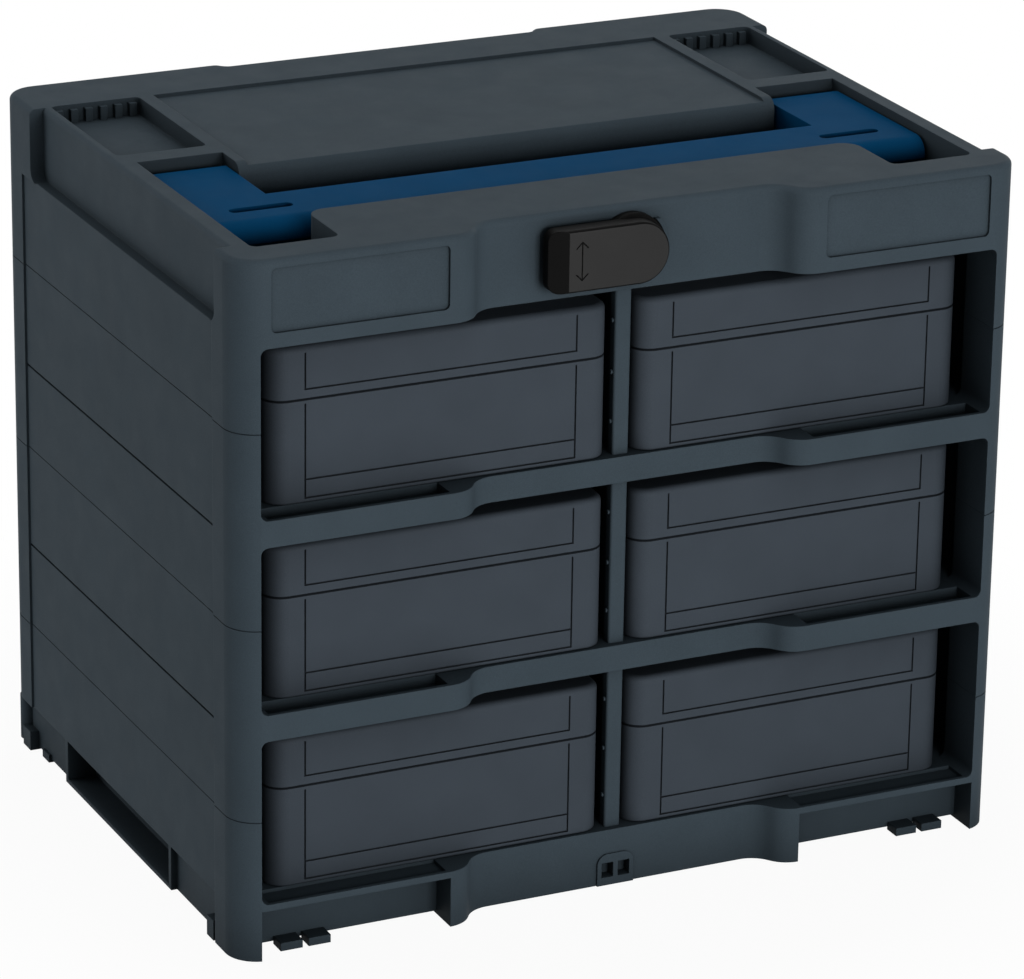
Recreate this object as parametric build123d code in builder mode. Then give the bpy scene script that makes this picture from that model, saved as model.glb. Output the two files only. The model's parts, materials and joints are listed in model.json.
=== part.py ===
from build123d import *
import os

os.makedirs("parts", exist_ok=True)

# Stackable rack case that holds six small lidded cases in three rows
# X runs across the front, Y from front to back, Z up from the feet
# The origin is the middle of the footprint, at the level that the feet stand on

# Overall size
rack_width = 396.0
rack_depth = 296.0
rack_height = 337.0
corner_radius = 15.5
front = -rack_depth / 2
back = rack_depth / 2
side = rack_width / 2

# Walls, pillars and panels
pillar_width = 12.0
pillar_depth = 28.0
wall = 3.0
panel_recess = 1.0
panel_bottom = 24.5
grip_height = 35.0
panel_top = rack_height - grip_height
back_wall = 3.5
pillar_inner = side - pillar_width
side_inner = side - panel_recess - wall

# The middle of the front and back stands back between two S-bends
bay_corner = 106.5
bay_run = 24.5
bay_outer = side - bay_corner
bay_inner = bay_outer - bay_run
bay_depth = 13.5
rear_bay_depth = 4.5
rear_bay_corner = 110.0
rear_bay_run = 8.0
rear_bay_outer = side - rear_bay_corner
rear_bay_inner = rear_bay_outer - rear_bay_run
back_inner = back - rear_bay_depth - back_wall

# Rows and shelves
row_count = 3
first_shelf = 28.0
fascia_height = 40.9
rail_height = 12.7
rail_depth = 18.0
ledge_height = 3.2
shelf_thickness = 3.0
seam_above_shelf = 41.5
seam_groove = 0.5
rib_thickness = 3.0
groove_below_shelf = 10.5
groove_height = 1.2
scoop_lip = 2.4
scoop_depth = 5.0
scoop_margin = 1.5
scoop_gap = 4.0
scoop_back = 2.0
scoop_floor = 1.6
opening_corner = 3.5
fascia_bottom = rack_height - fascia_height
row_pitch = (fascia_bottom - first_shelf + rail_height) / row_count
opening_height = row_pitch - rail_height

# Divider between the two columns
divider_thickness = 3.0
divider_bead_width = 8.2
divider_bead_depth = 5.0
divider_bead_edge = 1.2
divider_front = front + 17.0
divider_nub_radius = 1.1
divider_nub_length = 0.9
divider_nubs = (16.0, 40.0, 65.0)

# Small cases
case_inner_gap = 5.5
case_outer_gap = 10.0
case_front = front + 15.0
case_rear_gap = 7.0
case_headroom = 6.9
case_inner_side = divider_thickness / 2 + case_inner_gap
case_outer_side = pillar_inner - case_outer_gap
case_width = case_outer_side - case_inner_side
case_center_x = (case_outer_side + case_inner_side) / 2
case_depth = back_inner - case_rear_gap - case_front
case_height = opening_height - case_headroom
case_corner = 9.5
case_wall = 2.0
case_clearance = 0.3
lid_height = 25.0
tray_height = case_height - lid_height
lid_top_radius = 3.0
case_bottom_radius = 0.8
split_bevel = 0.6
line_width = 0.8
line_depth = 0.6
line_margin = 17.5
line_end_gap = 2.0
tray_line_low = 1.8
tray_line_high = 10.6
lid_line = 4.4
guide_clearance = 0.8
guide_width = 2.5
guide_height = 5.0

# Case hinge: knuckles on one long side, a pin through each set
hinge_pin_radius = 1.5
hinge_fit = 0.05
knuckle_radius = 2.7
knuckle_gap = 0.3
knuckle_inset = 0.1
knuckle_web_near = 1.0
knuckle_web_far = 5.0
hinge_end_distance = 58.0
tray_knuckle = 9.0
lid_knuckle = 14.0
hinge_block = 6.5
hinge_block_height = 8.0
hinge_pin_short = 1.0

# Case latch clip: a small plate that swings on two stub pins of the tray
clip_length = 40.0
clip_height = 17.0
clip_thickness = 2.6
clip_pivot_below_split = 8.0
clip_pivot_radius = 1.3
clip_fit = 0.06
clip_gap = 0.4
clip_ear = 4.0
clip_stub_short = 1.0

# Top deck, pockets, pad, well and handle recess
deck = 3.0
pocket_margin = 11.0
pocket_width = 45.0
pocket_length = 87.0
pocket_back = back - 39.0
pocket_front = pocket_back - pocket_length
pocket_outer = side - pocket_margin
pocket_inner = pocket_outer - pocket_width
pocket_depth = 8.5
pocket_radius = 3.0
pocket_rib_count = 6
pocket_rib_width = 3.6
pocket_rib_reach = 3.0
pocket_rib_drop = 2.0
well_margin = 2.5
recess_front = front + 20.0
recess_inner = pocket_inner - well_margin
recess_clearance = 1.4
recess_step = 5.0
recess_outer = pocket_outer - recess_step
ridge_depth = 12.6
recess_back = pocket_front - ridge_depth
well_front = front + 60.0
well_depth = 33.0
deck_corner = 9.0
recess_corner = 4.0
pad_panel_depth = 1.6
pad_panel_margin = 5.0
pad_panel_back = pocket_back
pad_roll = 6.0
grip_depth = 6.5
grip_front = front + 25.0
grip_back = back - 40.0
grip_corner = 6.0
grip_edge = 2.5
top_edge_radius = 3.0

# Fascia above the top row
fascia_wall = 4.0
label_gap = 3.5
label_inner = bay_outer + label_gap
label_outer = side - 17.0
label_bottom = fascia_bottom + 6.9
label_top = rack_height - 4.0
label_depth = 1.5
label_corner = 2.5

# Carrying handle
handle_drop = 4.0
handle_top = rack_height - handle_drop
handle_thickness = 13.0
handle_gap = 1.5
handle_bar_depth = 40.5
handle_front = well_front + handle_gap
handle_bar_back = handle_front + handle_bar_depth
handle_arm_inner = recess_inner + handle_gap
handle_arm_outer = recess_outer - handle_gap
handle_knuckle = 8.0
handle_pivot_y = recess_back - recess_clearance - handle_knuckle
handle_pivot_z = handle_top - handle_knuckle
handle_roll = 9.0
handle_undercut = 3.6
handle_slot_length = 31.0
handle_slot_width = 6.0
handle_slot_x = handle_arm_inner + 10.0
handle_slot_y = handle_front + 22.0
handle_slot_depth = 2.0
handle_pin_radius = 3.0
handle_pin_fit = 0.06
handle_pin_seat = 3.0
seat_fit = 0.03
pad_front = handle_pivot_y - 11.0

# Rotary latch
latch_drop = 20.0
latch_z = rack_height - latch_drop
latch_disc_radius = 16.5
latch_disc_thickness = 4.0
latch_gap = 0.4
latch_lever_radius = 14.8
latch_lever_length = 45.0
latch_lever_thickness = 8.5
latch_bevel_start = 35.5
latch_bevel_drop = 4.0
latch_edge = 1.6
latch_end_radius = 5.0
arrow_place = -29.5
arrow_length = 18.0
arrow_head = 2.8
arrow_line = 0.6
arrow_depth = 0.4
spindle_radius = 5.0
spindle_fit = 0.05
spindle_socket = 6.0
collar_gap = 0.7
collar_wall = 1.8
collar_inner = latch_disc_radius + collar_gap
collar_outer = collar_inner + collar_wall
collar_height = 3.0
collar_top = latch_z + 12.0
boss_radius = 9.5
boss_depth = 6.0
washer_radius = 9.0
washer_thickness = 1.5
washer_gap = 0.3
latch_screw_radius = 2.0
latch_screw_head_radius = 3.8
latch_screw_head = 2.4
latch_screw_length = 12.0
screw_hole_fit = 0.05

# Feet, skirts and the catch under the front
skirt_inset = 4.5
skirt_wall = 3.0
skirt_lift = 1.5
front_skirt = front + 16.0
front_skirt_wall = 3.0
tooth_width = 11.0
tooth_height = 4.0
tooth_reach = 9.0
tooth_places = (side - 43.5, side - 29.5)
side_tooth = (back - 43.0, back - 34.0)
side_tooth_reach = 1.5
rear_foot = (back - 25.0, back - 15.0)
front_nub = (front + pillar_depth + 2.0, front + pillar_depth + 10.0)
rear_foot_width = 8.0
rear_foot_height = 10.0
slot_front = front + 89.0
slot_back = back - 74.0
slot_top = 20.0
slot_lip = 3.5
slot_plate = 3.0
slot_plate_recess = 1.5
slot_wall_inset = 16.0
catch_half = 9.5
catch_top = 16.0
catch_wall = 2.2
catch_depth = 5.0
catch_round = 5.5
catch_rib = 2.4
catch_sill = 4.0

# Screws that join the frames through their corner pillars
screw_inset = 6.5
screw_x = side - screw_inset
screw_radius = 1.75
screw_head_radius = 3.25
screw_head = 2.5
screw_length = 24.0
screw_clearance = 0.25
screw_bore_fit = 0.05
screw_web = 8.0
screw_offsets = (11.0, 21.0)
screw_boss_radius = 6.0

shelves = [first_shelf + row * row_pitch for row in range(row_count)]
seams = [shelf + seam_above_shelf for shelf in shelves]
well_floor = rack_height - well_depth
recess_floor = handle_top - 2 * handle_knuckle - recess_clearance
pocket_floor = rack_height - pocket_depth
fascia_front = front + bay_depth


def block(x, y, z, mode=Mode.ADD):
    """A box between the low and high limits given for each axis."""
    with Locations(((x[0] + x[1]) / 2, (y[0] + y[1]) / 2, (z[0] + z[1]) / 2)):
        Box(x[1] - x[0], y[1] - y[0], z[1] - z[0], mode=mode)


def pair(x, y, z, mode=Mode.ADD):
    """The same box on the right and, mirrored, on the left."""
    block(x, y, z, mode)
    block((-x[1], -x[0]), y, z, mode)


def bar(center, radius, length, direction="X", mode=Mode.ADD):
    """A round bar centred on a point, along X, Y or Z."""
    turns = {"X": (0, 90, 0), "Y": (90, 0, 0), "Z": (0, 0, 0)}
    with Locations(Location(center, turns[direction])):
        Cylinder(radius, length, mode=mode)


def bay(level, outer, inner, depth, edge, inward):
    """Plan of a set-in middle stretch, joined to the outer face by two S-bends."""
    floor_y = edge + inward * depth
    middle = ((outer + inner) / 2, (edge + floor_y) / 2)
    with BuildSketch(Plane.XY.offset(level)) as plan:
        with BuildLine():
            TangentArc((outer, edge), middle, tangent=(-1, 0))
            TangentArc((inner, floor_y), middle, tangent=(1, 0))
            Line((inner, floor_y), (0, floor_y))
            Line((outer, edge), (outer, edge - inward))
            Line((outer, edge - inward), (0, edge - inward))
            mirror(about=Plane.YZ)
        make_face()
    return plan.sketch


def footprint(level, inset=0.0):
    """Plan of the whole rack, with its middle set in at the front and the back."""
    with BuildSketch(Plane.XY.offset(level)) as plan:
        RectangleRounded(rack_width - 2 * inset, rack_depth - 2 * inset, corner_radius - inset)
        add(bay(0, bay_outer, bay_inner, bay_depth + inset, front, 1), mode=Mode.SUBTRACT)
        add(bay(0, rear_bay_outer, rear_bay_inner, rear_bay_depth + inset, back, -1), mode=Mode.SUBTRACT)
    return plan.sketch


def interior(level):
    """Plan of the space inside the walls, open to the front between the pillars."""
    with BuildSketch(Plane.XY.offset(level)) as plan:
        with Locations((0, (front + back_inner) / 2 - pillar_depth)):
            Rectangle(2 * pillar_inner, back_inner - front + 2 * pillar_depth)
        Rectangle(2 * side_inner, rack_depth - 2 * pillar_depth)
    return plan.sketch


def walls(bottom, top):
    """The walls of one frame, with the panels of its sides set in."""
    extrude(footprint(bottom), amount=top - bottom)
    extrude(interior(bottom), amount=top - bottom, mode=Mode.SUBTRACT)
    panel_y = (front + pillar_depth, back - pillar_depth)
    pair((side - panel_recess, side + 1), panel_y, (bottom, top), Mode.SUBTRACT)


def seam_line(level):
    """A fine step round the top of a frame, where the next one starts."""
    with BuildSketch(Plane.XY.offset(level - seam_groove)) as ring:
        add(footprint(0))
        add(footprint(0, seam_groove), mode=Mode.SUBTRACT)
    extrude(ring.sketch, amount=seam_groove, mode=Mode.SUBTRACT)
    groove_x = (side - panel_recess - seam_groove, side)
    groove_y = (front + pillar_depth, back - pillar_depth)
    pair(groove_x, groove_y, (level - seam_groove, level), Mode.SUBTRACT)


def shelf(level, rail):
    """A shelf with a front rail of the given height, guides, centre rib and finger scoops."""
    with BuildSketch(Plane.XY.offset(level - rail)) as rail_plan:
        add(footprint(0))
        with Locations((0, front)):
            Rectangle(2 * side_inner, 2 * rail_depth, mode=Mode.INTERSECT)
    extrude(rail_plan.sketch, amount=rail)
    pillar_y = (front + rail_depth, front + pillar_depth)
    block((-pillar_inner, pillar_inner), pillar_y, (level - shelf_thickness, level))
    plate_y = (front + pillar_depth, back_inner)
    block((-side_inner, side_inner), plate_y, (level - shelf_thickness, level))
    rib_y = (front + rail_depth, back_inner)
    half_rib = rib_thickness / 2
    block((-half_rib, half_rib), rib_y, (level - rail_height, level - shelf_thickness))
    scoop_x = (bay_outer + scoop_margin, pillar_inner - scoop_gap)
    scoop_y = (front + scoop_lip, front + rail_depth - scoop_back)
    scoop_z = (level - min(scoop_depth, rail - scoop_floor), level + 1)
    pair(scoop_x, scoop_y, scoop_z, Mode.SUBTRACT)
    guide_x = case_outer_side + guide_clearance
    guide_y = (front + pillar_depth, back_inner)
    pair((guide_x, guide_x + guide_width), guide_y, (level, level + guide_height))


def round_corners(piece, level):
    """Rounds the inner corners of the front opening where they meet a rail at the given level."""
    along = piece.edges().filter_by(Axis.Y)
    for sign in (-1, 1):
        near = along.filter_by_position(Axis.X, sign * pillar_inner - 0.1, sign * pillar_inner + 0.1)
        near = near.filter_by_position(Axis.Z, level - 0.1, level + 0.1)
        fillet(near.filter_by_position(Axis.Y, front, front + pillar_depth), opening_corner)


def side_grooves(level):
    """A groove along each side panel beside a shelf."""
    groove_y = (front + pillar_depth, back - pillar_depth)
    groove_x = (side - panel_recess - 1, side)
    groove_z = (level - groove_below_shelf, level - groove_below_shelf + groove_height)
    pair(groove_x, groove_y, groove_z, Mode.SUBTRACT)


def pillar_points(offset):
    """Screw places in the four corner pillars, set in from the front and back."""
    places = []
    for x in (-screw_x, screw_x):
        places.append((x, front + offset))
        places.append((x, back - offset))
    return places


def screw_bores(bottom, seam_below, seam_above, low_offset, high_offset):
    """Pilot holes above the lower seam, and shafts for the screws of the upper one."""
    if seam_below is not None:
        depth = screw_length - screw_web + 1
        for x, y in pillar_points(low_offset):
            bar((x, y, seam_below + depth / 2), screw_radius + screw_bore_fit, depth, "Z", Mode.SUBTRACT)
    if seam_above is not None:
        shaft = seam_above - screw_web - bottom
        for x, y in pillar_points(high_offset):
            bar((x, y, bottom + shaft / 2), screw_head_radius + screw_clearance, shaft, "Z", Mode.SUBTRACT)
            hole = screw_radius + screw_clearance
            bar((x, y, seam_above - screw_web / 2), hole, screw_web + 1, "Z", Mode.SUBTRACT)


def shelf_frame(piece, bottom, top, level, low_offset, high_offset):
    """One middle frame of the rack: walls, a shelf and its screw bores."""
    walls(bottom, top)
    shelf(level, rail_height)
    round_corners(piece, level)
    round_corners(piece, level - rail_height)
    side_grooves(level)
    seam_line(top)
    screw_bores(bottom, bottom, top, low_offset, high_offset)


with BuildPart() as base_frame:
    walls(panel_bottom, seams[0])
    shelf(shelves[0], ledge_height)
    round_corners(base_frame, shelves[0])
    # skirts that stand back from the walls, down to the feet
    with BuildSketch(Plane.XY.offset(skirt_lift)) as skirt:
        Rectangle(rack_width - 2 * skirt_inset, rack_depth - 2 * skirt_inset)
        Rectangle(
            rack_width - 2 * (skirt_inset + skirt_wall),
            rack_depth - 2 * (skirt_inset + skirt_wall),
            mode=Mode.SUBTRACT,
        )
        with Locations((0, front)):
            Rectangle(rack_width, 2 * (front_skirt - front), mode=Mode.SUBTRACT)
    extrude(skirt.sketch, amount=panel_bottom - skirt_lift)
    skirt_side = side - skirt_inset
    front_skirt_y = (front_skirt, front_skirt + front_skirt_wall)
    block((-skirt_side, skirt_side), front_skirt_y, (skirt_lift, first_shelf - shelf_thickness))
    # S-shaped brackets and the middle of the front skirt
    bracket_depth = front_skirt + front_skirt_wall - front
    with BuildSketch() as bracket:
        add(footprint(0))
        with Locations((0, front)):
            Rectangle(2 * bay_outer, 2 * bracket_depth, mode=Mode.INTERSECT)
    extrude(bracket.sketch, amount=first_shelf - shelf_thickness)
    # feet under the two front pillars
    with BuildSketch() as feet:
        add(footprint(0))
        with Locations((0, front)):
            Rectangle(rack_width, 2 * pillar_depth, mode=Mode.INTERSECT)
        Rectangle(2 * pillar_inner, rack_depth + 2, mode=Mode.SUBTRACT)
    extrude(feet.sketch, amount=panel_bottom)
    # rear feet, nubs behind the front feet, and the screw bosses in the skirt's rear corners
    pair((side - rear_foot_width, side), rear_foot, (0, rear_foot_height))
    pair((side - rear_foot_width, side), front_nub, (0, rear_foot_height))
    boss_height = panel_bottom - skirt_lift
    for x in (-screw_x, screw_x):
        boss_center = (x, back - screw_offsets[0], skirt_lift + boss_height / 2)
        bar(boss_center, screw_boss_radius, boss_height, "Z")
    # teeth that hook into the unit below
    for place in tooth_places:
        tooth_y = (front_skirt - tooth_reach, front_skirt)
        pair((place - tooth_width / 2, place + tooth_width / 2), tooth_y, (0, tooth_height))
    pair((skirt_side - skirt_wall, skirt_side + side_tooth_reach), side_tooth, (0, tooth_height))
    # long pocket in each side skirt, with a floor, a plate at each end and a wall behind
    slot_outer = side - slot_plate_recess
    slot_wall_outer = side - slot_wall_inset
    for edge in (slot_front - slot_plate, slot_back):
        pair((slot_wall_outer, slot_outer), (edge, edge + slot_plate), (skirt_lift, panel_bottom))
    pair((slot_wall_outer, slot_outer), (slot_front, slot_back), (skirt_lift, slot_lip))
    slot_x = (skirt_side - skirt_wall - 1, skirt_side + 1)
    pair(slot_x, (slot_front, slot_back), (slot_lip, slot_top), Mode.SUBTRACT)
    slot_wall_x = (slot_wall_outer - skirt_wall, slot_wall_outer)
    slot_wall_y = (slot_front - slot_plate, slot_back + slot_plate)
    slot_wall_z = (skirt_lift, first_shelf - shelf_thickness)
    pair(slot_wall_x, slot_wall_y, slot_wall_z)
    # catch for the latch of the unit below: an arch with two windows
    with BuildSketch(Plane.XZ.offset(-fascia_front)) as catch:
        Rectangle(2 * catch_half, catch_top, align=(Align.CENTER, Align.MIN))
        fillet(catch.vertices().group_by(Axis.Y)[-1], catch_round)
    extrude(catch.sketch, amount=catch_wall / 2)
    window_z = (catch_sill, catch_top - 2 * catch_wall)
    window_y = (fascia_front - catch_wall, fascia_front + catch_depth)
    window_x = (catch_rib / 2, catch_half - catch_wall)
    pair(window_x, window_y, window_z, Mode.SUBTRACT)
    seam_line(seams[0])
    screw_bores(0, None, seams[0], None, screw_offsets[0])

with BuildPart() as lower_frame:
    shelf_frame(lower_frame, seams[0], seams[1], shelves[1], screw_offsets[0], screw_offsets[1])

with BuildPart() as upper_frame:
    shelf_frame(upper_frame, seams[1], seams[2], shelves[2], screw_offsets[1], screw_offsets[0])

with BuildPart() as top_cover:
    extrude(footprint(seams[-1]), amount=rack_height - seams[-1])
    top_face = top_cover.faces().sort_by(Axis.Z)[-1]
    fillet(top_face.edges(), top_edge_radius)
    # walls below the ledge of the hand grips
    ledge = panel_top - wall
    extrude(interior(seams[-1]), amount=fascia_bottom - seams[-1], mode=Mode.SUBTRACT)
    side_y = (front + pillar_depth, back - pillar_depth)
    inside = (-side_inner, side_inner)
    block(inside, side_y, (fascia_bottom - 1, ledge), Mode.SUBTRACT)
    pair((side - panel_recess, side + 1), side_y, (seams[-1], panel_top), Mode.SUBTRACT)
    # hand grips in the sides
    for sign in (-1, 1):
        with BuildSketch(Plane.YZ.offset(sign * side)) as grip:
            grip_center = (grip_front + grip_back) / 2
            with Locations((grip_center, panel_top)):
                Rectangle(grip_back - grip_front, rack_height, align=(Align.CENTER, Align.MIN))
            fillet(grip.vertices().group_by(Axis.Y)[0], grip_corner)
        extrude(grip.sketch, amount=-sign * grip_depth, mode=Mode.SUBTRACT)
        grip_x = sign * (side - grip_depth)
        along = top_cover.edges().filter_by(Axis.Y)
        grip_edges = along.filter_by_position(Axis.X, grip_x - 0.1, grip_x + 0.1)
        fillet(grip_edges.group_by(Axis.Z)[-1], grip_edge)
    # hollows under the deck, each left open to the row below
    low = fascia_bottom - 1
    grip_inner = side - grip_depth - wall
    under_deck = rack_height - deck
    beam_y = (fascia_front + fascia_wall, well_front - deck)
    block((-recess_inner + deck_corner, recess_inner - deck_corner), beam_y, (low, under_deck), Mode.SUBTRACT)
    corner_y = (front + fascia_wall, recess_front - deck)
    pair((bay_outer, pillar_inner), corner_y, (low, under_deck), Mode.SUBTRACT)
    well_y = (well_front - deck, pad_front + deck)
    block((-recess_inner, recess_inner), well_y, (low, well_floor - deck), Mode.SUBTRACT)
    arm_y = (recess_front - deck, recess_back + deck)
    pair((recess_inner + deck, grip_inner), arm_y, (low, recess_floor - deck), Mode.SUBTRACT)
    ridge_y = (recess_back + deck, pocket_front - deck)
    pair((pocket_inner, grip_inner), ridge_y, (low, under_deck), Mode.SUBTRACT)
    under_pocket_y = (pocket_front - deck, pocket_back + deck)
    pair((recess_inner, grip_inner), under_pocket_y, (low, pocket_floor - deck), Mode.SUBTRACT)
    rear_y = (pocket_back + deck, back_inner)
    block((-pillar_inner, pillar_inner), rear_y, (low, under_deck), Mode.SUBTRACT)
    pad_y = (pad_front + deck, pocket_back + deck)
    pad_inside = recess_inner - deck
    block((-pad_inside, pad_inside), pad_y, (low, under_deck - pad_panel_depth), Mode.SUBTRACT)
    # rib over the divider
    half_rib = rib_thickness / 2
    block((-half_rib, half_rib), (fascia_front + fascia_wall, back_inner), (fascia_bottom, well_floor - deck))
    # well behind the crossbar, and recess of each handle arm
    arm_recess_x = (recess_inner + recess_outer) / 2
    well_place = (0, (well_front + pad_front) / 2)
    with BuildSketch(Plane.XY.offset(recess_floor)) as recess:
        with Locations(well_place):
            Rectangle(2 * recess_inner + 2, pad_front - well_front)
        arm_recess_y = (recess_front + recess_back) / 2
        with Locations((-arm_recess_x, arm_recess_y), (arm_recess_x, arm_recess_y)):
            Rectangle(recess_outer - recess_inner, recess_back - recess_front)
        fillet([v for v in recess.vertices() if abs(v.Y - well_front) < 0.1], deck_corner)
        fillet(recess.vertices().group_by(Axis.Y)[0], recess_corner)
    extrude(recess.sketch, amount=rack_height, mode=Mode.SUBTRACT)
    with BuildSketch(Plane.XY.offset(well_floor)) as well:
        with Locations(well_place):
            Rectangle(2 * recess_inner, pad_front - well_front)
    extrude(well.sketch, amount=recess_floor - well_floor, mode=Mode.SUBTRACT)
    for sign in (-1, 1):
        with BuildSketch(Plane.XY.offset(pocket_floor)) as pocket:
            pocket_x = sign * (pocket_inner + pocket_outer) / 2
            with Locations((pocket_x, (pocket_front + pocket_back) / 2)):
                RectangleRounded(pocket_outer - pocket_inner, pocket_back - pocket_front, pocket_radius)
        extrude(pocket.sketch, amount=rack_height, mode=Mode.SUBTRACT)
        # ribs on the rear wall of each pocket
        rib_pitch = (pocket_outer - pocket_inner) / pocket_rib_count
        for number in range(pocket_rib_count):
            rib_x = sign * (pocket_inner + rib_pitch * (number + 0.5))
            rib_y = (pocket_back - pocket_rib_reach, pocket_back + 1)
            rib_x_range = (rib_x - pocket_rib_width / 2, rib_x + pocket_rib_width / 2)
            block(rib_x_range, rib_y, (pocket_floor, rack_height - pocket_rib_drop))
    # raised pad: rolled front edge and a recessed panel that is open to the front
    deck_edges = top_cover.edges().filter_by(Axis.X)
    deck_edges = deck_edges.filter_by_position(Axis.Z, under_deck, rack_height)
    pad_edges = deck_edges.filter_by_position(Axis.Y, pad_front - 0.1, pad_front + 0.1)
    fillet(pad_edges, pad_roll)
    pad_panel_half = recess_inner - pad_panel_margin
    panel_y = (pad_front - 1, pad_panel_back)
    panel_z = (rack_height - pad_panel_depth, rack_height + 1)
    block((-pad_panel_half, pad_panel_half), panel_y, panel_z, Mode.SUBTRACT)
    # fields on the fascia
    label_x = (label_inner + label_outer) / 2
    label_z = (label_bottom + label_top) / 2
    with BuildSketch(Plane.XZ.offset(-front)) as labels:
        with Locations((-label_x, label_z), (label_x, label_z)):
            RectangleRounded(label_outer - label_inner, label_top - label_bottom, label_corner)
    extrude(labels.sketch, amount=-label_depth, mode=Mode.SUBTRACT)
    # collar round the latch disc, open at the top
    collar_y = fascia_front - collar_height / 2
    with BuildPart(mode=Mode.PRIVATE) as collar:
        bar((0, collar_y, latch_z), collar_outer, collar_height, "Y")
        bar((0, collar_y, latch_z), collar_inner, collar_height + 1, "Y", Mode.SUBTRACT)
        above_y = (fascia_front - collar_height - 1, fascia_front + 1)
        block((-collar_outer, collar_outer), above_y, (collar_top, rack_height), Mode.SUBTRACT)
    add(collar.part)
    # boss that carries the latch spindle
    boss_y = fascia_front + fascia_wall + boss_depth / 2
    bar((0, boss_y, latch_z), boss_radius, boss_depth, "Y")
    spindle_bore = spindle_radius + spindle_fit
    bar((0, fascia_front + fascia_wall, latch_z), spindle_bore, 4 * boss_depth, "Y", Mode.SUBTRACT)
    # bores for the handle pins
    pin_length = recess_outer - recess_inner + 2 * handle_pin_seat
    for sign in (-1, 1):
        pin_place = (sign * arm_recess_x, handle_pivot_y, handle_pivot_z)
        bar(pin_place, handle_pin_radius + seat_fit, pin_length, "X", Mode.SUBTRACT)
    screw_bores(seams[-1], seams[-1], None, screw_offsets[0], None)
    round_corners(top_cover, fascia_bottom)

with BuildPart() as divider:
    half_plate = divider_thickness / 2
    half_bead = divider_bead_width / 2
    divider_z = (0, opening_height)
    block((-half_plate, half_plate), (divider_front, back_inner), divider_z)
    block((-half_bead, half_bead), (divider_front, divider_front + divider_bead_depth), divider_z)
    fillet(divider.edges().filter_by(Axis.Z).sort_by(Axis.Y)[:2], divider_bead_edge)
    for level in divider_nubs:
        nub_x = -half_bead - divider_nub_length / 2
        nub_y = divider_front + divider_bead_depth / 2
        bar((nub_x, nub_y, level), divider_nub_radius, divider_nub_length, "X")

with BuildPart() as carry_handle:
    arm_width = handle_arm_outer - handle_arm_inner
    handle_bottom = handle_top - handle_thickness
    block((-handle_arm_outer, handle_arm_outer), (handle_front, handle_bar_back), (handle_bottom, handle_top))
    pair((handle_arm_inner, handle_arm_outer), (handle_front, handle_pivot_y), (handle_bottom, handle_top))
    front_top = carry_handle.edges().filter_by(Axis.X).group_by(Axis.Y)[0].sort_by(Axis.Z)[-1]
    fillet(front_top, handle_roll)
    front_low = carry_handle.edges().filter_by(Axis.X).group_by(Axis.Y)[0].sort_by(Axis.Z)[0]
    chamfer(front_low, handle_undercut)
    arm_center = (handle_arm_inner + handle_arm_outer) / 2
    for sign in (-1, 1):
        pivot = (sign * arm_center, handle_pivot_y, handle_pivot_z)
        bar(pivot, handle_knuckle, arm_width, "X")
    with BuildSketch(Plane.XY.offset(handle_top)) as finger_slots:
        with Locations((-handle_slot_x, handle_slot_y), (handle_slot_x, handle_slot_y)):
            SlotOverall(handle_slot_length, handle_slot_width)
    extrude(finger_slots.sketch, amount=-handle_slot_depth, mode=Mode.SUBTRACT)
    for sign in (-1, 1):
        pivot = (sign * arm_center, handle_pivot_y, handle_pivot_z)
        bar(pivot, handle_pin_radius + handle_pin_fit, arm_width + 1, "X", Mode.SUBTRACT)

with BuildPart() as handle_pin_right:
    bar((arm_recess_x, handle_pivot_y, handle_pivot_z), handle_pin_radius, pin_length, "X")

with BuildPart() as handle_pin_left:
    bar((-arm_recess_x, handle_pivot_y, handle_pivot_z), handle_pin_radius, pin_length, "X")

disc_back = fascia_front - latch_gap
disc_front = disc_back - latch_disc_thickness
lever_front = disc_front - latch_lever_thickness

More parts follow.
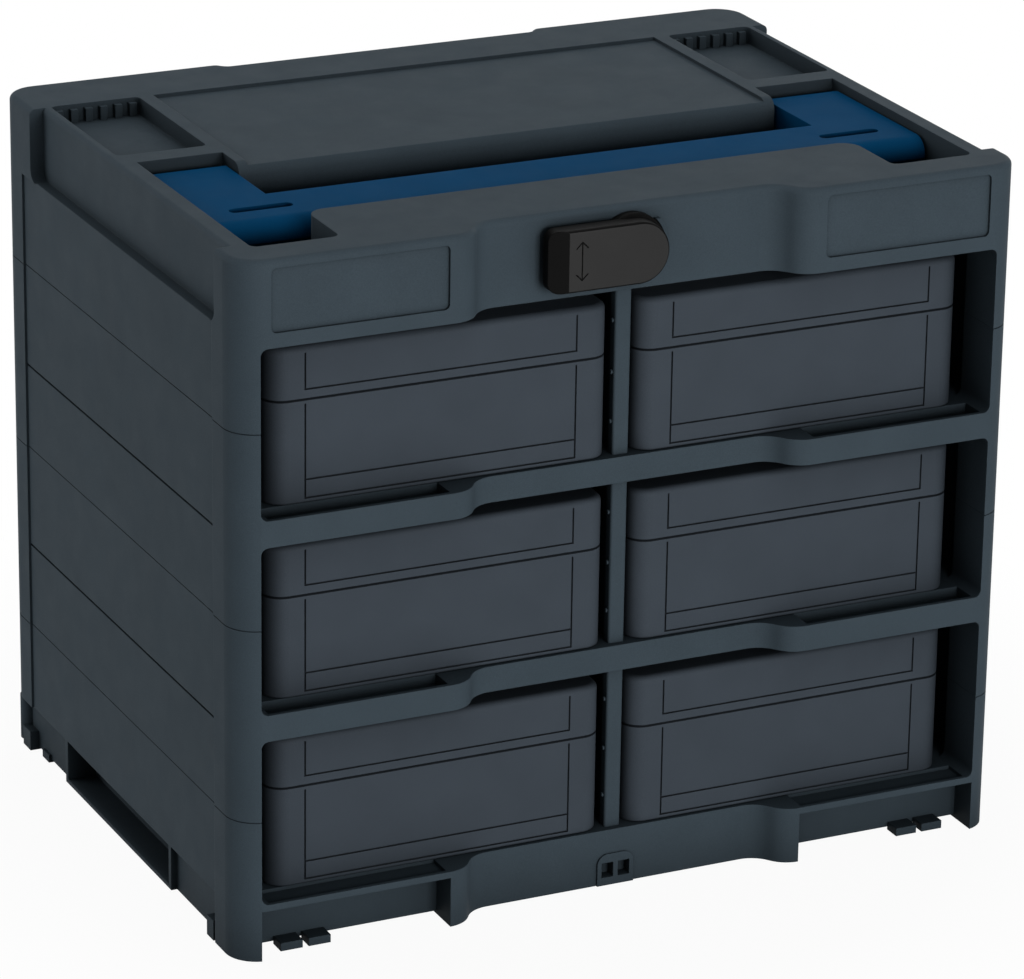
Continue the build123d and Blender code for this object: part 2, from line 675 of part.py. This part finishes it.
with BuildPart() as latch_knob:
    bar((0, (disc_back + disc_front) / 2, latch_z), latch_disc_radius, latch_disc_thickness, "Y")
    with BuildSketch(Plane.XZ.offset(-disc_front)) as lever:
        with Locations((0, latch_z)):
            Circle(latch_lever_radius)
            Rectangle(latch_lever_length, 2 * latch_lever_radius, align=(Align.MAX, Align.CENTER))
        fillet(lever.vertices().group_by(Axis.X)[0], latch_end_radius)
    extrude(lever.sketch, amount=latch_lever_thickness)
    fillet(latch_knob.faces().sort_by(Axis.Y)[0].edges(), latch_edge)
    with BuildSketch(Plane.XY.offset(latch_z - latch_lever_radius - 1)) as bevel:
        with BuildLine():
            Polyline(
                (-latch_bevel_start, lever_front),
                (-latch_lever_length - 1, lever_front + latch_bevel_drop),
                (-latch_lever_length - 1, lever_front - 1),
                (-latch_bevel_start, lever_front - 1),
                close=True,
            )
        make_face()
    extrude(bevel.sketch, amount=2 * latch_lever_radius + 2, mode=Mode.SUBTRACT)
    socket_radius = spindle_radius + seat_fit
    bar((0, disc_back - spindle_socket / 2, latch_z), socket_radius, spindle_socket, "Y", Mode.SUBTRACT)
    # up-down arrow sunk into the lever
    arrow_y = (lever_front - 1, lever_front + arrow_depth)
    arrow_x = (arrow_place - arrow_line / 2, arrow_place + arrow_line / 2)
    block(arrow_x, arrow_y, (latch_z - arrow_length / 2, latch_z + arrow_length / 2), Mode.SUBTRACT)
    for vertical in (-1, 1):
        for sideways in (-1, 1):
            with BuildSketch(Plane.XZ.offset(-lever_front)) as barb:
                with BuildLine():
                    barb_end = latch_z + vertical * (arrow_length / 2 - arrow_head)
                    Line(
                        (arrow_place, latch_z + vertical * arrow_length / 2),
                        (arrow_place + sideways * arrow_head, barb_end),
                    )
                    offset(amount=arrow_line / 2, side=Side.BOTH)
                make_face()
            extrude(barb.sketch, amount=-arrow_depth, mode=Mode.SUBTRACT)

spindle_front = disc_back - spindle_socket
washer_front = fascia_front + fascia_wall + boss_depth + washer_gap

with BuildPart() as latch_spindle:
    spindle_length = washer_front - spindle_front
    spindle_center = (washer_front + spindle_front) / 2
    bar((0, spindle_center, latch_z), spindle_radius, spindle_length, "Y")
    screw_depth = latch_screw_length + 1
    pilot = latch_screw_radius + screw_hole_fit
    bar((0, washer_front - screw_depth / 2, latch_z), pilot, screw_depth, "Y", Mode.SUBTRACT)

washer_back = washer_front + washer_thickness

with BuildPart() as latch_washer:
    bar((0, (washer_front + washer_back) / 2, latch_z), washer_radius, washer_thickness, "Y")
    hole = latch_screw_radius + screw_clearance
    bar((0, (washer_front + washer_back) / 2, latch_z), hole, washer_thickness + 1, "Y", Mode.SUBTRACT)

with BuildPart() as latch_screw:
    shank_start = washer_front - latch_screw_length
    shank_length = washer_back - shank_start
    bar((0, washer_back - shank_length / 2, latch_z), latch_screw_radius, shank_length, "Y")
    bar((0, washer_back + latch_screw_head / 2, latch_z), latch_screw_head_radius, latch_screw_head, "Y")

with BuildPart() as frame_screws:
    for number, seam in enumerate(seams):
        offset_used = screw_offsets[number % 2]
        head_bottom = seam - screw_web - screw_head
        for x, y in pillar_points(offset_used):
            bar((x, y, head_bottom + screw_head / 2), screw_head_radius, screw_head, "Z")
            shank_middle = head_bottom + screw_head + screw_length / 2
            bar((x, y, shank_middle), screw_radius, screw_length, "Z")


def case_plan(level, inset):
    """Plan of a small case, drawn in by the given inset."""
    with BuildSketch(Plane.XY.offset(level)) as plan:
        RectangleRounded(case_width - 2 * inset, case_depth - 2 * inset, case_corner - inset)
    return plan.sketch


case_side = case_width / 2
case_end = case_depth / 2
hinge_x = case_side - knuckle_radius - knuckle_inset
line_side = case_side - line_margin
hinge_set = lid_knuckle + 2 * (tray_knuckle + knuckle_gap)
hinge_centers = (hinge_end_distance - case_end, case_end - hinge_end_distance)
clip_pivot_z = tray_height - clip_pivot_below_split
clip_pivot_x = -case_side + clip_thickness / 2


def end_line(x, z):
    """A fine line sunk into both end faces of a case."""
    for sign in (-1, 1):
        edge = sign * case_end
        depth = (min(edge, edge - sign * line_depth), max(edge, edge - sign * line_depth))
        block(x, depth, z, Mode.SUBTRACT)


def end_panel(levels, bottom, top):
    """Two upright lines and one line at each level, on both ends of a case."""
    for sign in (-1, 1):
        x = sign * line_side
        end_line((x - line_width / 2, x + line_width / 2), (bottom, top))
    for level in levels:
        end_line((-line_side, line_side), (level, level + line_width))


def tray_knuckle_centers():
    """Middles of the tray's four hinge knuckles along Y."""
    step = (lid_knuckle + tray_knuckle) / 2 + knuckle_gap
    return [center + sign * step for center in hinge_centers for sign in (-1, 1)]


with BuildPart() as tray:
    extrude(case_plan(0, 0), amount=tray_height)
    fillet(tray.faces().sort_by(Axis.Z)[0].edges(), case_bottom_radius)
    chamfer(tray.faces().sort_by(Axis.Z)[-1].edges(), split_bevel)
    extrude(case_plan(case_wall, case_wall), amount=tray_height, mode=Mode.SUBTRACT)
    end_panel((tray_line_low, tray_line_high), tray_line_low, tray_height - line_end_gap)
    for center in hinge_centers:
        block_y = (center - hinge_set / 2, center + hinge_set / 2)
        block_z = (tray_height - hinge_block_height, tray_height)
        block((case_side - hinge_block, case_side), block_y, block_z)
        bar((hinge_x, center, tray_height), knuckle_radius + knuckle_gap, hinge_set, "Y", Mode.SUBTRACT)
    for center in tray_knuckle_centers():
        bar((hinge_x, center, tray_height), knuckle_radius, tray_knuckle, "Y")
        knuckle_y = (center - tray_knuckle / 2, center + tray_knuckle / 2)
        knuckle_z = (tray_height - knuckle_web_far, tray_height - knuckle_web_near)
        block((hinge_x - knuckle_radius, hinge_x + knuckle_radius), knuckle_y, knuckle_z)
    for center in hinge_centers:
        bore = hinge_pin_radius + hinge_fit
        bar((hinge_x, center, tray_height), bore, hinge_set + 1, "Y", Mode.SUBTRACT)
    # seat of the latch clip and its two ears
    ear_y = clip_length / 2 + clip_gap
    seat_x = (-case_side - 1, clip_pivot_x + clip_thickness / 2 + clip_gap)
    seat_z = (clip_pivot_z - clip_thickness / 2 - clip_gap, tray_height + 1)
    backing = (-case_side + case_wall, seat_x[1] + case_wall)
    block(backing, (-ear_y - clip_ear, ear_y + clip_ear), (seat_z[0] - case_wall, tray_height))
    block(seat_x, (-ear_y, ear_y), seat_z, Mode.SUBTRACT)
    bar((clip_pivot_x, 0, clip_pivot_z), clip_pivot_radius, clip_length + 2 * clip_ear, "Y", Mode.SUBTRACT)

with BuildPart() as lid:
    extrude(case_plan(tray_height, 0), amount=lid_height)
    fillet(lid.faces().sort_by(Axis.Z)[-1].edges(), lid_top_radius)
    chamfer(lid.faces().sort_by(Axis.Z)[0].edges(), split_bevel)
    extrude(case_plan(tray_height, case_wall), amount=lid_height - case_wall, mode=Mode.SUBTRACT)
    end_panel((tray_height + lid_line,), tray_height + lid_line, case_height - lid_top_radius)
    for center in hinge_centers:
        block_y = (center - hinge_set / 2, center + hinge_set / 2)
        block_z = (tray_height, tray_height + hinge_block_height)
        block((case_side - hinge_block, case_side), block_y, block_z)
        bar((hinge_x, center, tray_height), knuckle_radius + knuckle_gap, hinge_set, "Y", Mode.SUBTRACT)
        bar((hinge_x, center, tray_height), knuckle_radius, lid_knuckle, "Y")
        knuckle_y = (center - lid_knuckle / 2, center + lid_knuckle / 2)
        knuckle_z = (tray_height + knuckle_web_near, tray_height + knuckle_web_far)
        block((hinge_x - knuckle_radius, hinge_x + knuckle_radius), knuckle_y, knuckle_z)
        bore = hinge_pin_radius + hinge_fit
        bar((hinge_x, center, tray_height), bore, hinge_set + 1, "Y", Mode.SUBTRACT)
    # groove that the clip hooks into
    lid_seat_z = (tray_height - 1, clip_pivot_z + clip_height + clip_gap)
    lid_backing_z = (tray_height, lid_seat_z[1] + case_wall)
    block(backing, (-ear_y - clip_ear, ear_y + clip_ear), lid_backing_z)
    block(seat_x, (-ear_y, ear_y), lid_seat_z, Mode.SUBTRACT)

with BuildPart() as clip:
    clip_x = (clip_pivot_x - clip_thickness / 2, clip_pivot_x + clip_thickness / 2)
    clip_y = (-clip_length / 2, clip_length / 2)
    block(clip_x, clip_y, (clip_pivot_z, clip_pivot_z + clip_height))
    bar((clip_pivot_x, 0, clip_pivot_z), clip_thickness / 2, clip_length, "Y")
    stub_length = clip_length + 2 * clip_ear - clip_stub_short
    bar((clip_pivot_x, 0, clip_pivot_z), clip_pivot_radius - clip_fit, stub_length, "Y")

with BuildPart() as hinge_pins:
    for center in hinge_centers:
        bar((hinge_x, center, tray_height), hinge_pin_radius, hinge_set - hinge_pin_short, "Y")


def save(piece, name):
    """Label a finished piece and write it to its own file."""
    piece.part.label = name
    export_step(piece.part, f"parts/{name}.step")


save(base_frame, "base_frame")
save(lower_frame, "lower_frame")
save(upper_frame, "upper_frame")
save(top_cover, "top_cover")
save(carry_handle, "carry_handle")
save(handle_pin_right, "handle_pin_right")
save(handle_pin_left, "handle_pin_left")
save(latch_knob, "latch_knob")
save(latch_spindle, "latch_spindle")
save(latch_washer, "latch_washer")
save(latch_screw, "latch_screw")
save(frame_screws, "frame_screws")

row_names = ("bottom", "middle", "top")
for row, shelf_level in enumerate(shelves):
    with BuildPart() as placed_divider:
        with Locations((0, 0, shelf_level)):
            add(divider.part)
    save(placed_divider, f"{row_names[row]}_divider")
    for column, sign, turn in (("left", -1, 0), ("right", 1, 180)):
        case_place = Location(
            (sign * case_center_x, case_front + case_end, shelf_level + case_clearance),
            (0, 0, turn),
        )
        pieces = {"tray": tray, "lid": lid, "latch_clip": clip, "hinge_pins": hinge_pins}
        for piece_name, piece in pieces.items():
            with BuildPart() as placed:
                with Locations(case_place):
                    add(piece.part)
            save(placed, f"{row_names[row]}_{column}_{piece_name}")
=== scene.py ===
import json
import math

import bpy
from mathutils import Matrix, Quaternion, Vector

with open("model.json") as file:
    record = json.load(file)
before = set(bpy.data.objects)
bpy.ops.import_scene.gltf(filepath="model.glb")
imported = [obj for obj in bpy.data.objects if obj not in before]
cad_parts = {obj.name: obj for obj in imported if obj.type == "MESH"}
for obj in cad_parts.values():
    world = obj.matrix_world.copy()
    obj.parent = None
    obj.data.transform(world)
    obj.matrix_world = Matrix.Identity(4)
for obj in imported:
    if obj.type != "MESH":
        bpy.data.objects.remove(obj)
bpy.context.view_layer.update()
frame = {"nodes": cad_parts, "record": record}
nodes = frame["nodes"]
mm = 0.001

# Camera: where it stands, how it is turned, and its lens
camera_place = Vector((-1.0389, -2.1910, 1.0612))
camera_turn = math.radians(25.53)
camera_down = math.radians(20.54)
camera_roll = math.radians(0.86)
camera_lens = 187.66
camera_sensor = 36.0
camera_reach = 50.0

# Colours, as linear values
body_color = (0.0345, 0.0480, 0.0590)
case_color = (0.037, 0.046, 0.057)
handle_color = (0.0022, 0.046, 0.118)
latch_color = (0.003, 0.003, 0.003)
latch_face_painted_light = 8.0
steel_color = (0.55, 0.56, 0.58)
floor_color = (0.50, 0.50, 0.50)
white = (1, 1, 1, 1)

# Small cases: their ends, their middle line, and the fine lines and the seam in them, which are darkened
# as painted shade
case_end = 133.0 * mm
case_middle = 91.5 * mm
case_panel = 67.8 * mm
groove_near = 0.15 * mm
groove_far = 0.9 * mm
groove_shade_tone = 0.28
row_pitch = 93.6 * mm
case_floor = 28.3 * mm
case_low = 1.0 * mm
case_high = 70.8 * mm
case_split = 49.0 * mm
split_reach = 0.62 * mm

# The latch lever's flat face lies in front of this depth, and is painted lighter as painted light
latch_face = -147.25 * mm

# Painted shade in corners: how far it looks, and the openness at which it is darkest and gone
shade_distance = 32.0 * mm
shade_samples = 6
shade_darkest = 0.15
shade_gone = 0.95

# Rounded edges: their radius, and how alike the rounded and the plain normal are on edge and flat
edge_radius = 0.8 * mm
edge_samples = 4
edge_likeness = 0.80
flat_likeness = 0.985

# Noise on the moulded plastics: its scales per metre, and the range that each spreads over
mottle_scale = 38.0
mottle_tones = (0.955, 1.045)
rub_and_highlight_scale = 120.0
rub_and_highlight_tones = (0.2, 1.0)
gloss_scale = 70.0
gloss_less = 0.04
gloss_more = 0.05
grain_height = 0.05 * mm
grain_fineness = 0.8

# Gloss and turning marks on the plated steel
steel_gloss_scale = 900.0
steel_gloss = (0.24, 0.42)
steel_mark_scale = 1600.0
steel_mark_strength = 0.12
steel_mark_height = 0.02 * mm

# Floor: its size, how far it lies under the feet, and how white it looks near the part and far off
floor_size = 12.0
floor_drop = 0.5 * mm
floor_rough = 0.9
white_near = 0.95
white_far = 1.0
near_distance = 0.24
far_distance = 0.42

# Lamps: place, width and power of each, all aimed at the middle of the part
lamp_target = (0, 0, 0.17)
lamps = {
    "key": ((0.15, -2.7, 0.6), 1.1, 66.0),
    "fill": ((-2.2, 1.6, 0.9), 1.6, 35.0),
    "top": ((0.0, 0.5, 2.6), 1.6, 25.0),
    "rear": ((2.4, 2.0, 1.5), 1.8, 14.0),
}
sky_light = 0.14
sky_seen = 1.0


def new_material(name):
    """An empty node material with its shader and output, and its node tree."""
    material = bpy.data.materials.new(name)
    material.use_nodes = True
    tree = material.node_tree
    shader = tree.nodes["Principled BSDF"]
    return material, tree, shader


def noise(tree, vector, scale, detail=3.0, roughness=0.5):
    """A noise texture over the piece's own coordinates, as its factor output."""
    texture = tree.nodes.new("ShaderNodeTexNoise")
    texture.inputs["Scale"].default_value = scale
    texture.inputs["Detail"].default_value = detail
    texture.inputs["Roughness"].default_value = roughness
    tree.links.new(vector, texture.inputs["Vector"])
    return texture.outputs["Fac"]


def spread(tree, value, low, high, from_low=0.3, from_high=0.7):
    """Maps a factor, by default the usual range of a noise, to a range of numbers."""
    node = tree.nodes.new("ShaderNodeMapRange")
    node.inputs["From Min"].default_value = from_low
    node.inputs["From Max"].default_value = from_high
    node.inputs["To Min"].default_value = low
    node.inputs["To Max"].default_value = high
    tree.links.new(value, node.inputs["Value"])
    return node.outputs["Result"]


def math_node(tree, operation, first, second):
    """A maths node on two values, each a socket or a number."""
    node = tree.nodes.new("ShaderNodeMath")
    node.operation = operation
    for value, socket in ((first, node.inputs[0]), (second, node.inputs[1])):
        if isinstance(value, (int, float)):
            socket.default_value = value
        else:
            tree.links.new(value, socket)
    return node.outputs[0]


def product(tree, first, second):
    """Two values multiplied."""
    return math_node(tree, "MULTIPLY", first, second)


def size_of(tree, value):
    """A value without its sign."""
    return math_node(tree, "ABSOLUTE", value, 0.0)


def groove_shade_mask(tree, place):
    """1 in the fine lines sunk into both ends of a small case and in its seam, where painted shade
    darkens the colour, else 0.
    """
    split = tree.nodes.new("ShaderNodeSeparateXYZ")
    tree.links.new(place, split.inputs[0])
    # how deep the place lies behind the case's end
    end_distance = math_node(tree, "SUBTRACT", case_end, size_of(tree, split.outputs["Y"]))
    sunk = math_node(tree, "GREATER_THAN", end_distance, groove_near)
    shallow = math_node(tree, "LESS_THAN", end_distance, groove_far)
    # how far it lies from the case's middle line
    aside = math_node(tree, "SUBTRACT", size_of(tree, split.outputs["X"]), case_middle)
    inside = math_node(tree, "LESS_THAN", size_of(tree, aside), case_panel)
    # how high it lies above the floor of its own case
    above_floor = math_node(tree, "SUBTRACT", split.outputs["Z"], case_floor)
    height = math_node(tree, "FLOORED_MODULO", above_floor, row_pitch)
    over = math_node(tree, "GREATER_THAN", height, case_low)
    under = math_node(tree, "LESS_THAN", height, case_high)
    lines = product(tree, product(tree, sunk, shallow), inside)
    lines = product(tree, lines, product(tree, over, under))
    off_split = size_of(tree, math_node(tree, "SUBTRACT", height, case_split))
    seam = math_node(tree, "LESS_THAN", off_split, split_reach)
    return math_node(tree, "MAXIMUM", lines, seam)


def latch_lit_face_mask(tree, place):
    """1 on the flat face of the latch lever, painted lighter as painted light, and 0 on its bevel, its
    sides and its arrow, which stay dark as painted shade.
    """
    split = tree.nodes.new("ShaderNodeSeparateXYZ")
    tree.links.new(place, split.inputs[0])
    return math_node(tree, "LESS_THAN", split.outputs["Y"], latch_face)


def shade(tree, low):
    """Painted shade as a colour factor: 1 in the open, and down to a lower tone in corners, gaps and
    recesses.
    """
    cover = tree.nodes.new("ShaderNodeAmbientOcclusion")
    cover.samples = shade_samples
    cover.inputs["Distance"].default_value = shade_distance
    return spread(tree, cover.outputs["AO"], low, 1.0, shade_darkest, shade_gone)


def edge_factor(tree):
    """Near 1 on edges and 0 on flats, from how far a rounded normal leans, and that normal."""
    bevel = tree.nodes.new("ShaderNodeBevel")
    bevel.samples = edge_samples
    bevel.inputs["Radius"].default_value = edge_radius
    geometry = tree.nodes.new("ShaderNodeNewGeometry")
    dot = tree.nodes.new("ShaderNodeVectorMath")
    dot.operation = "DOT_PRODUCT"
    tree.links.new(bevel.outputs["Normal"], dot.inputs[0])
    tree.links.new(geometry.outputs["Normal"], dot.inputs[1])
    lean = spread(tree, dot.outputs["Value"], 1.0, 0.0, edge_likeness, flat_likeness)
    return lean, bevel.outputs["Normal"]


def moulded(name, color, rough, grain, grain_size, speckle, rub_and_highlight, shine, painted_shade_low, mask=None, mask_gain=1.0):
    """Moulded plastic: fine grain, faint mottling, soft edges lightened partly as rubbing and partly as
    a painted highlight, and painted shade in corners and gaps.
    """
    material, tree, shader = new_material(name)
    place = tree.nodes.new("ShaderNodeTexCoord").outputs["Object"]
    lean, rounded = edge_factor(tree)
    mottle = spread(tree, noise(tree, place, mottle_scale, detail=4.0), *mottle_tones)
    dots = noise(tree, place, 1.0 / grain_size, detail=2.0, roughness=0.6)
    dots = spread(tree, dots, 1.0 - speckle, 1.0 + speckle)
    tone = product(tree, mottle, dots)
    # Edges lightened in patches: partly rubbing, partly a painted highlight
    rub_and_highlight_patches = spread(tree, noise(tree, place, rub_and_highlight_scale, roughness=0.7), *rub_and_highlight_tones)
    rubbed_and_lit_edges = product(tree, lean, rub_and_highlight_patches)
    lighten = spread(tree, rubbed_and_lit_edges, 1.0, 1.0 + rub_and_highlight, 0.0, 1.0)
    tone = product(tree, tone, lighten)
    # Painted shade: corners, gaps and recesses darkened in the colour
    tone = product(tree, tone, shade(tree, painted_shade_low))
    if mask:
        masked = spread(tree, mask(tree, place), 1.0, mask_gain, 0.0, 1.0)
        tone = product(tree, tone, masked)
    scaled = tree.nodes.new("ShaderNodeVectorMath")
    scaled.operation = "SCALE"
    scaled.inputs[0].default_value = color
    tree.links.new(tone, scaled.inputs["Scale"])
    tree.links.new(scaled.outputs["Vector"], shader.inputs["Base Color"])
    gloss = noise(tree, place, gloss_scale, detail=4.0, roughness=0.6)
    gloss = spread(tree, gloss, rough - gloss_less, rough + gloss_more)
    tree.links.new(gloss, shader.inputs["Roughness"])
    shader.inputs["Specular IOR Level"].default_value = shine
    bump = tree.nodes.new("ShaderNodeBump")
    bump.inputs["Strength"].default_value = grain
    bump.inputs["Distance"].default_value = grain_height
    pits = noise(tree, place, grain_fineness / grain_size, roughness=0.65)
    tree.links.new(pits, bump.inputs["Height"])
    tree.links.new(rounded, bump.inputs["Normal"])
    tree.links.new(bump.outputs["Normal"], shader.inputs["Normal"])
    return material


def plated_steel(name):
    """Zinc-plated steel with fine turning marks."""
    material, tree, shader = new_material(name)
    place = tree.nodes.new("ShaderNodeTexCoord").outputs["Object"]
    shader.inputs["Metallic"].default_value = 1.0
    shader.inputs["Base Color"].default_value = (*steel_color, 1.0)
    gloss = spread(tree, noise(tree, place, steel_gloss_scale, detail=4.0), *steel_gloss)
    tree.links.new(gloss, shader.inputs["Roughness"])
    bump = tree.nodes.new("ShaderNodeBump")
    bump.inputs["Strength"].default_value = steel_mark_strength
    bump.inputs["Distance"].default_value = steel_mark_height
    tree.links.new(noise(tree, place, steel_mark_scale, detail=2.0), bump.inputs["Height"])
    tree.links.new(bump.outputs["Normal"], shader.inputs["Normal"])
    return material


def paint(material, name):
    """Gives a CAD node a material in place of the one it was packed with."""
    mesh = nodes[name].data
    mesh.materials.clear()
    mesh.materials.append(material)


body_plastic = moulded(
    "body_plastic",
    body_color,
    rough=0.60,
    grain=0.55,
    grain_size=0.35 * mm,
    speckle=0.13,
    rub_and_highlight=0.30,
    shine=0.03,
    painted_shade_low=0.30,
)
case_plastic = moulded(
    "case_plastic",
    case_color,
    rough=0.58,
    grain=0.50,
    grain_size=0.35 * mm,
    speckle=0.11,
    rub_and_highlight=0.25,
    shine=0.03,
    painted_shade_low=0.30,
    # Painted shade in the sunk lines and the seam
    mask=groove_shade_mask,
    mask_gain=groove_shade_tone,
)
handle_plastic = moulded(
    "handle_plastic",
    handle_color,
    rough=0.46,
    grain=0.25,
    grain_size=0.25 * mm,
    speckle=0.04,
    rub_and_highlight=0.20,
    shine=0.004,
    painted_shade_low=0.45,
)
latch_plastic = moulded(
    "latch_plastic",
    latch_color,
    rough=0.42,
    grain=0.25,
    grain_size=0.25 * mm,
    speckle=0.05,
    rub_and_highlight=0.25,
    shine=0.03,
    painted_shade_low=0.5,
    # Painted light on the flat face, painted shade on the bevel, sides and arrow
    mask=latch_lit_face_mask,
    mask_gain=latch_face_painted_light,
)
slots = {
    "body_plastic": body_plastic,
    "case_plastic": case_plastic,
    "handle_plastic": handle_plastic,
    "latch_plastic": latch_plastic,
    "steel": plated_steel("plated_steel"),
}
for entry in frame["record"]["subparts"]:
    paint(slots[entry["material_slot"]], entry["node"])


def background_rays(tree):
    """1 for the rays that see a white background: direct, reflected or through glass."""
    path = tree.nodes.new("ShaderNodeLightPath")
    direct = math_node(tree, "MAXIMUM", path.outputs["Is Camera Ray"], path.outputs["Is Glossy Ray"])
    return math_node(tree, "MAXIMUM", direct, path.outputs["Is Transmission Ray"])


# Floor
bpy.ops.mesh.primitive_plane_add(size=floor_size, location=(0, 0, -floor_drop))
floor = bpy.context.object
floor.name = "floor"
floor_material, floor_tree, floor_shader = new_material("floor")
floor_shader.inputs["Base Color"].default_value = (*floor_color, 1.0)
floor_shader.inputs["Roughness"].default_value = floor_rough
# The floor looks nearly white, with the object's shadow faint on it
glow = floor_tree.nodes.new("ShaderNodeEmission")
glow.inputs["Color"].default_value = white
glow.inputs["Strength"].default_value = 1.0
floor_place = floor_tree.nodes.new("ShaderNodeTexCoord").outputs["Object"]
distance = floor_tree.nodes.new("ShaderNodeVectorMath")
distance.operation = "LENGTH"
floor_tree.links.new(floor_place, distance.inputs[0])
away = distance.outputs["Value"]
whiteness = spread(floor_tree, away, white_near, white_far, near_distance, far_distance)
seen = background_rays(floor_tree)
floor_mix = floor_tree.nodes.new("ShaderNodeMixShader")
floor_tree.links.new(product(floor_tree, whiteness, seen), floor_mix.inputs[0])
floor_tree.links.new(floor_shader.outputs["BSDF"], floor_mix.inputs[1])
floor_tree.links.new(glow.outputs["Emission"], floor_mix.inputs[2])
floor_tree.links.new(floor_mix.outputs["Shader"], floor_tree.nodes["Material Output"].inputs["Surface"])
floor.data.materials.append(floor_material)


def lamp(name, place, size, power):
    """A soft square lamp that points at the middle of the part."""
    data = bpy.data.lights.new(name, "AREA")
    data.size = size
    data.energy = power
    light = bpy.data.objects.new(name, data)
    light.location = place
    aim = Vector(lamp_target) - Vector(place)
    light.rotation_mode = "QUATERNION"
    light.rotation_quaternion = aim.to_track_quat("-Z", "Y")
    bpy.context.scene.collection.objects.link(light)


for name, (place, size, power) in lamps.items():
    lamp(name, place, size, power)

# World
world = bpy.data.worlds.new("studio")
bpy.context.scene.world = world
world.use_nodes = True
sky = world.node_tree
background = sky.nodes["Background"]
background.inputs["Color"].default_value = white
level = sky.nodes.new("ShaderNodeMapRange")
level.inputs["To Min"].default_value = sky_light
level.inputs["To Max"].default_value = sky_seen
sky.links.new(background_rays(sky), level.inputs["Value"])
sky.links.new(level.outputs["Result"], background.inputs["Strength"])

# Camera
camera_data = bpy.data.cameras.new("camera")
camera_data.sensor_width = camera_sensor
camera_data.lens = camera_lens
camera_data.clip_end = camera_reach
camera = bpy.data.objects.new("camera", camera_data)
flat = math.cos(camera_down)
look = Vector((math.sin(camera_turn) * flat, math.cos(camera_turn) * flat, -math.sin(camera_down)))
camera.rotation_mode = "QUATERNION"
camera.rotation_quaternion = look.to_track_quat("-Z", "Y") @ Quaternion((0, 0, 1), camera_roll)
camera.location = camera_place
bpy.context.scene.collection.objects.link(camera)
bpy.context.scene.camera = camera
bpy.context.scene.view_settings.view_transform = "Standard"
